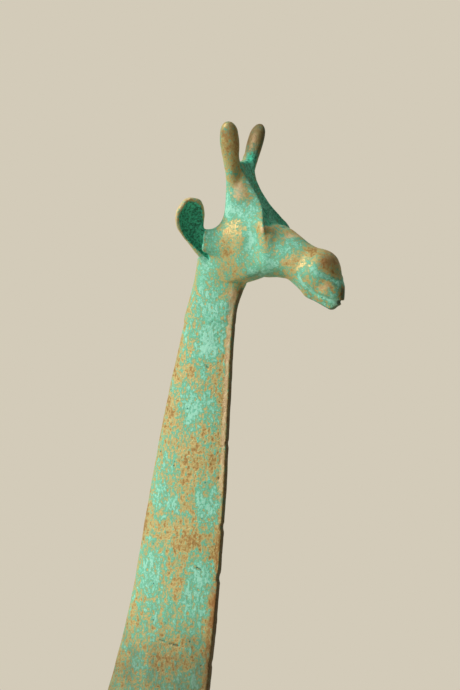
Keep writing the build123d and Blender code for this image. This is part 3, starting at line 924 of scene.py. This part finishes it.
class Nodes:
    """Short hand for building one material's node tree."""

    def __init__(self, material):
        material.use_nodes = True
        self.tree = material.node_tree
        self.shader = self.tree.nodes["Principled BSDF"]
        self.place = self.tree.nodes.new("ShaderNodeTexCoord").outputs["Object"]

    def feed(self, socket, value):
        if isinstance(value, bpy.types.NodeSocket):
            self.tree.links.new(value, socket)
        else:
            socket.default_value = value

    def calc(self, operation, a, b=0.0, c=0.0):
        node = self.tree.nodes.new("ShaderNodeMath")
        node.operation = operation
        for socket, value in zip(node.inputs, (a, b, c)):
            self.feed(socket, value)
        return node.outputs[0]

    def add(self, first, *terms):
        """first plus every (weight, value)."""
        total = first
        for weight, value in terms:
            total = self.calc("MULTIPLY_ADD", value, weight, total)
        return total

    def stretch(self, factors, shift=(0.0, 0.0, 0.0)):
        node = self.tree.nodes.new("ShaderNodeVectorMath")
        node.operation = "MULTIPLY_ADD"
        self.feed(node.inputs[0], self.place)
        node.inputs[1].default_value = factors
        node.inputs[2].default_value = shift
        return node.outputs[0]

    def noise(self, size, detail=2.0, rough=0.5, warp=0.0, factors=(1.0, 1.0, 1.0), shift=(0.0, 0.0, 0.0)):
        """Noise whose features are about size mm across."""
        node = self.tree.nodes.new("ShaderNodeTexNoise")
        self.feed(node.inputs["Vector"], self.stretch(factors, shift))
        node.inputs["Scale"].default_value = 1000.0 / size
        node.inputs["Detail"].default_value = detail
        node.inputs["Roughness"].default_value = rough
        node.inputs["Distortion"].default_value = warp
        return node.outputs[0]

    def cells(self, size, feature, factors=(1.0, 1.0, 1.0)):
        node = self.tree.nodes.new("ShaderNodeTexVoronoi")
        node.feature = feature
        self.feed(node.inputs["Vector"], self.stretch(factors))
        node.inputs["Scale"].default_value = 1000.0 / size
        return node.outputs["Distance"]

    def measure(self, name):
        node = self.tree.nodes.new("ShaderNodeAttribute")
        node.attribute_name = name
        return node.outputs["Fac"]

    def step(self, value, low, high):
        node = self.tree.nodes.new("ShaderNodeMapRange")
        node.interpolation_type = "SMOOTHSTEP"
        self.feed(node.inputs[0], value)
        node.inputs[1].default_value = low
        node.inputs[2].default_value = high
        return node.outputs[0]

    def times(self, first, *others):
        for other in others:
            first = self.calc("MULTIPLY", first, other)
        return first

    def mix(self, factor, a, b):
        node = self.tree.nodes.new("ShaderNodeMix")
        node.data_type = "RGBA"
        self.feed(node.inputs[0], factor)
        self.feed(node.inputs[6], a)
        self.feed(node.inputs[7], b)
        return node.outputs[2]

    def ramp(self, value, stops):
        node = self.tree.nodes.new("ShaderNodeValToRGB")
        self.feed(node.inputs[0], value)
        band = node.color_ramp
        while len(band.elements) < len(stops):
            band.elements.new(0.5)
        for element, (place, colour) in zip(band.elements, stops):
            element.position = place
            element.color = colour
        return node.outputs[0]

    def bump(self, height, strength, distance, normal=None):
        node = self.tree.nodes.new("ShaderNodeBump")
        node.inputs["Strength"].default_value = strength
        node.inputs["Distance"].default_value = distance * MM
        self.feed(node.inputs["Height"], height)
        if normal:
            self.feed(node.inputs["Normal"], normal)
        return node.outputs[0]


MEASURES = ("recess", "crest", "green", "copper", "tarnish_and_painted_light", "pits", "grain")


def bronze_material():
    """Cast bronze under verdigris: bare gold and copper where hands rub, green powder in hollows, painted
    shade and painted highlights.
    """
    material = bpy.data.materials.new("patinated_bronze")
    n = Nodes(material)
    recess, crest, green, copper, tarnish_and_painted_light, pits, grain = map(n.measure, MEASURES)
    broad = n.noise(15.0, 3.0)
    patches = n.noise(4.4, 4.0, 0.6, 0.4, (1.0, 1.0, 0.7))
    blots = n.noise(2.0, 4.0, 0.65, 0.6, (1.0, 1.0, 0.75), (0.3, 0.1, 0.2))
    speck = n.noise(0.8, 3.0, 0.7, 0.3)
    streaks = n.noise(0.95, 3.0, 0.6, 0.2, (1.0, 1.0, 0.3), (0.1, 0.4, 0.7))
    net = n.noise(2.9, 3.0, 0.6, 1.2, (1.0, 1.0, 0.6), (0.6, 0.2, 0.5))
    beads = n.cells(1.1, "F1", (1.0, 1.0, 0.75))

    # How green each spot is
    level = n.add(-2.2, (0.36, green), (0.7, broad), (0.9, patches), (1.4, blots), (1.5, speck))
    level = n.add(level, (0.4, recess), (-0.25, crest))
    level = n.add(level, (1.3, n.times(grain, n.add(-0.5, (1.0, streaks)))))
    level = n.add(level, (0.5, n.times(grain, n.add(-0.45, (1.0, beads)))))
    colour = n.ramp(n.calc("ADD", level, 0.5), [
        (0.0, srgb(154, 122, 68)),
        (0.2, srgb(178, 154, 96)),
        (0.36, srgb(186, 174, 116)),
        (0.48, srgb(168, 170, 116)),
        (0.58, srgb(126, 166, 130)),
        (0.74, srgb(92, 178, 152)),
        (1.0, srgb(146, 212, 194)),
    ])

    # Copper showing through in freckles and along rubbed places
    freckles = n.noise(1.7, 4.0, 0.7, 0.5, (1.0, 1.0, 0.7), (0.9, 0.3, 0.1))
    shown = n.add(-0.42, (0.3, copper), (0.8, freckles), (0.35, n.add(-0.5, (1.0, speck))))
    colour = n.mix(n.times(n.step(shown, 0.08, 0.28), 0.55), colour, srgb(156, 104, 62))

    # Thin bright threads of verdigris round the golden islands
    thread = n.calc("ABSOLUTE", n.calc("SUBTRACT", net, 0.5))
    thread = n.step(thread, 0.035, 0.008)
    colour = n.mix(n.times(thread, n.step(level, -0.3, 0.1), 0.5), colour, srgb(92, 190, 164))

    # Deep green powder in the hollows, dark grains in it
    deep = n.step(n.add(recess, (0.25, n.add(-0.5, (1.0, blots)))), 0.36, 0.66)
    powder = n.mix(n.step(speck, 0.38, 0.6), srgb(4, 104, 84), srgb(66, 206, 172))
    colour = n.mix(n.times(deep, 0.9), colour, powder)

    # Rubbed edges: pale gold, with dark brown where grease stays
    rubbed = n.step(n.add(crest, (0.5, n.add(-0.5, (1.0, patches)))), 0.5, 0.8)
    colour = n.mix(n.times(rubbed, n.step(blots, 0.42, 0.56), 0.75), colour, srgb(222, 190, 132))
    greasy = n.times(n.step(crest, 0.5, 0.85), n.step(freckles, 0.52, 0.62))
    colour = n.mix(n.times(greasy, 0.8), colour, srgb(92, 54, 22))

    # Brown film left where nothing rubs, together with painted shade where the measure is raised for it
    film_and_painted_shade = n.step(n.add(tarnish_and_painted_light, (0.8, n.add(-0.5, (1.0, patches)))), 0.0, 1.0)
    film_and_painted_shade = n.times(film_and_painted_shade, n.add(1.0, (-0.8, deep)))
    colour = n.mix(n.times(film_and_painted_shade, 0.75), colour, srgb(70, 62, 34))
    # Painted highlight: pale metal where the measure is strongly negative
    painted_highlight = n.step(n.add(tarnish_and_painted_light, (1.8, n.add(-0.5, (1.0, blots)))), -0.35, -1.1)
    colour = n.mix(n.times(painted_highlight, 0.6), colour, srgb(230, 208, 172))

    # Dark pinholes of the casting
    holes = n.step(n.cells(2.6, "F1"), 0.17, 0.06)
    holes = n.times(holes, n.step(patches, 0.52, 0.62), grain)
    pitted = n.times(n.step(pits, 0.25, 0.8), n.step(speck, 0.4, 0.5), 0.85)
    dark = n.calc("MAXIMUM", n.times(holes, 0.75), pitted)
    colour = n.mix(dark, colour, srgb(20, 76, 66))
    n.feed(n.shader.inputs["Base Color"], colour)

    bare = n.step(level, 0.05, -0.2)
    metal = n.times(bare, n.calc("SUBTRACT", 1.0, deep), 0.3)
    n.feed(n.shader.inputs["Metallic"], metal)
    dull = n.add(0.74, (-0.24, bare), (0.3, n.add(-0.5, (1.0, speck))), (0.2, deep), (-0.12, rubbed))
    n.feed(n.shader.inputs["Roughness"], dull)

    relief = n.add(0.0, (0.5, speck), (0.5, blots), (0.7, n.times(grain, streaks)))
    relief = n.add(relief, (0.8, n.times(grain, beads)), (-1.2, holes), (-0.4, thread))
    rough = n.bump(relief, 0.7, 0.16)
    n.feed(n.shader.inputs["Normal"], n.bump(patches, 0.35, 0.5, rough))
    return material


# -------------------------------------------------------------------------- camera, light, floor
def look_from(eye, target):
    return (Vector(target) - Vector(eye)).to_track_quat("-Z", "Y")


VIEW_AZIMUTH = radians(28.0)
LENS = 300.0
SENSOR = 36.0
BRIGHT_SIDE = (-0.86, 0.18, 0.48)  # direction of the studio's bright side
WORLD_DIM = 0.12  # strength of the studio's dim side
WORLD_COLOUR = (0.651, 0.597, 0.485, 1)
FLOOR_COLOUR = (0.62, 0.57, 0.47, 1)
FLOOR_RADIUS = 1.1
FRAME_HEIGHT = 0.2346  # height of the view where the giraffe's middle plane crosses it
AIM = Vector((0.038, 0.0, 0.4795))


def make_camera():
    data = bpy.data.cameras.new("camera")
    data.lens = LENS
    data.sensor_width = SENSOR
    camera = bpy.data.objects.new("camera", data)
    distance = LENS * FRAME_HEIGHT / SENSOR
    camera.location = AIM + distance * Vector((sin(VIEW_AZIMUTH), -cos(VIEW_AZIMUTH), 0.0))
    camera.rotation_mode = "QUATERNION"
    camera.rotation_quaternion = look_from(camera.location, AIM)
    bpy.context.scene.collection.objects.link(camera)
    bpy.context.scene.camera = camera


def area_light(name, place, size, power, colour):
    data = bpy.data.lights.new(name, "AREA")
    data.shape = "DISK"
    data.size = size
    data.energy = power
    data.color = colour
    light = bpy.data.objects.new(name, data)
    light.location = place
    light.rotation_mode = "QUATERNION"
    light.rotation_quaternion = look_from(place, (0.0, 0.0, 0.3))
    bpy.context.scene.collection.objects.link(light)


def make_world():
    """Plain warm studio, bright round the giraffe's left and back and dim toward its face."""
    world = bpy.data.worlds.new("studio")
    world.use_nodes = True
    tree = world.node_tree
    background = tree.nodes["Background"]
    direction = tree.nodes.new("ShaderNodeTexCoord")
    toward = tree.nodes.new("ShaderNodeVectorMath")
    toward.operation = "DOT_PRODUCT"
    toward.inputs[1].default_value = BRIGHT_SIDE
    tree.links.new(direction.outputs["Generated"], toward.inputs[0])
    fade = tree.nodes.new("ShaderNodeMapRange")
    fade.interpolation_type = "SMOOTHSTEP"
    fade.inputs[1].default_value = -0.7
    fade.inputs[2].default_value = 0.4
    fade.inputs[3].default_value = WORLD_DIM
    fade.inputs[4].default_value = 1.0
    tree.links.new(toward.outputs["Value"], fade.inputs[0])
    background.inputs["Color"].default_value = WORLD_COLOUR
    tree.links.new(fade.outputs[0], background.inputs["Strength"])
    bpy.context.scene.world = world
    bpy.context.scene.view_settings.view_transform = "Standard"


def make_floor():
    bpy.ops.mesh.primitive_circle_add(vertices=96, radius=FLOOR_RADIUS, fill_type="NGON")
    floor = bpy.context.object
    floor.name = "floor"
    material = bpy.data.materials.new("floor")
    material.use_nodes = True
    shader = material.node_tree.nodes["Principled BSDF"]
    shader.inputs["Base Color"].default_value = FLOOR_COLOUR
    shader.inputs["Roughness"].default_value = 0.9
    floor.data.materials.append(material)


bronze = bronze_material()
for piece in build_sections():
    piece.data.materials.append(bronze)
make_camera()
make_world()
make_floor()
area_light("key", (-0.75, -1.15, 1.25), 0.6, 26.0, (1.0, 0.96, 0.9))
